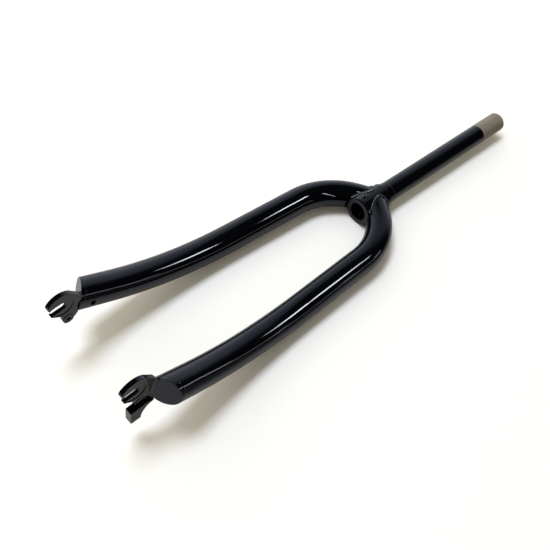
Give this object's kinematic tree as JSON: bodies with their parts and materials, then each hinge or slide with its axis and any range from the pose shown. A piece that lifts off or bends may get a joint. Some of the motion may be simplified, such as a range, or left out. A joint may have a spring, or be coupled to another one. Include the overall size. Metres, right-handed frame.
{
  "type": "bicycle fork",
  "caption": "Rigid bicycle fork: bent tube blades welded to a steerer with a thick crown base, ending in slotted dropout plates that hold the front wheel's axle.",
  "frame": {"origin": "on the steerer axis at the shoulder that carries the headset's crown race", "axes": "+Y up the steerer, +X to the bicycle's left, +Z to its front, which is up as the fork lies on its back"},
  "size_m": [0.1674, 0.6669, 0.0953],
  "materials": {
    "black_paint": "gloss"
  },
  "bodies": {
    "root": {"steerer": "black_paint", "left_blade": "black_paint", "right_blade": "black_paint", "left_dropout": "black_paint", "right_dropout": "black_paint", "left_crown_weld": "black_paint", "right_crown_weld": "black_paint"}
  },
  "joints": []
}
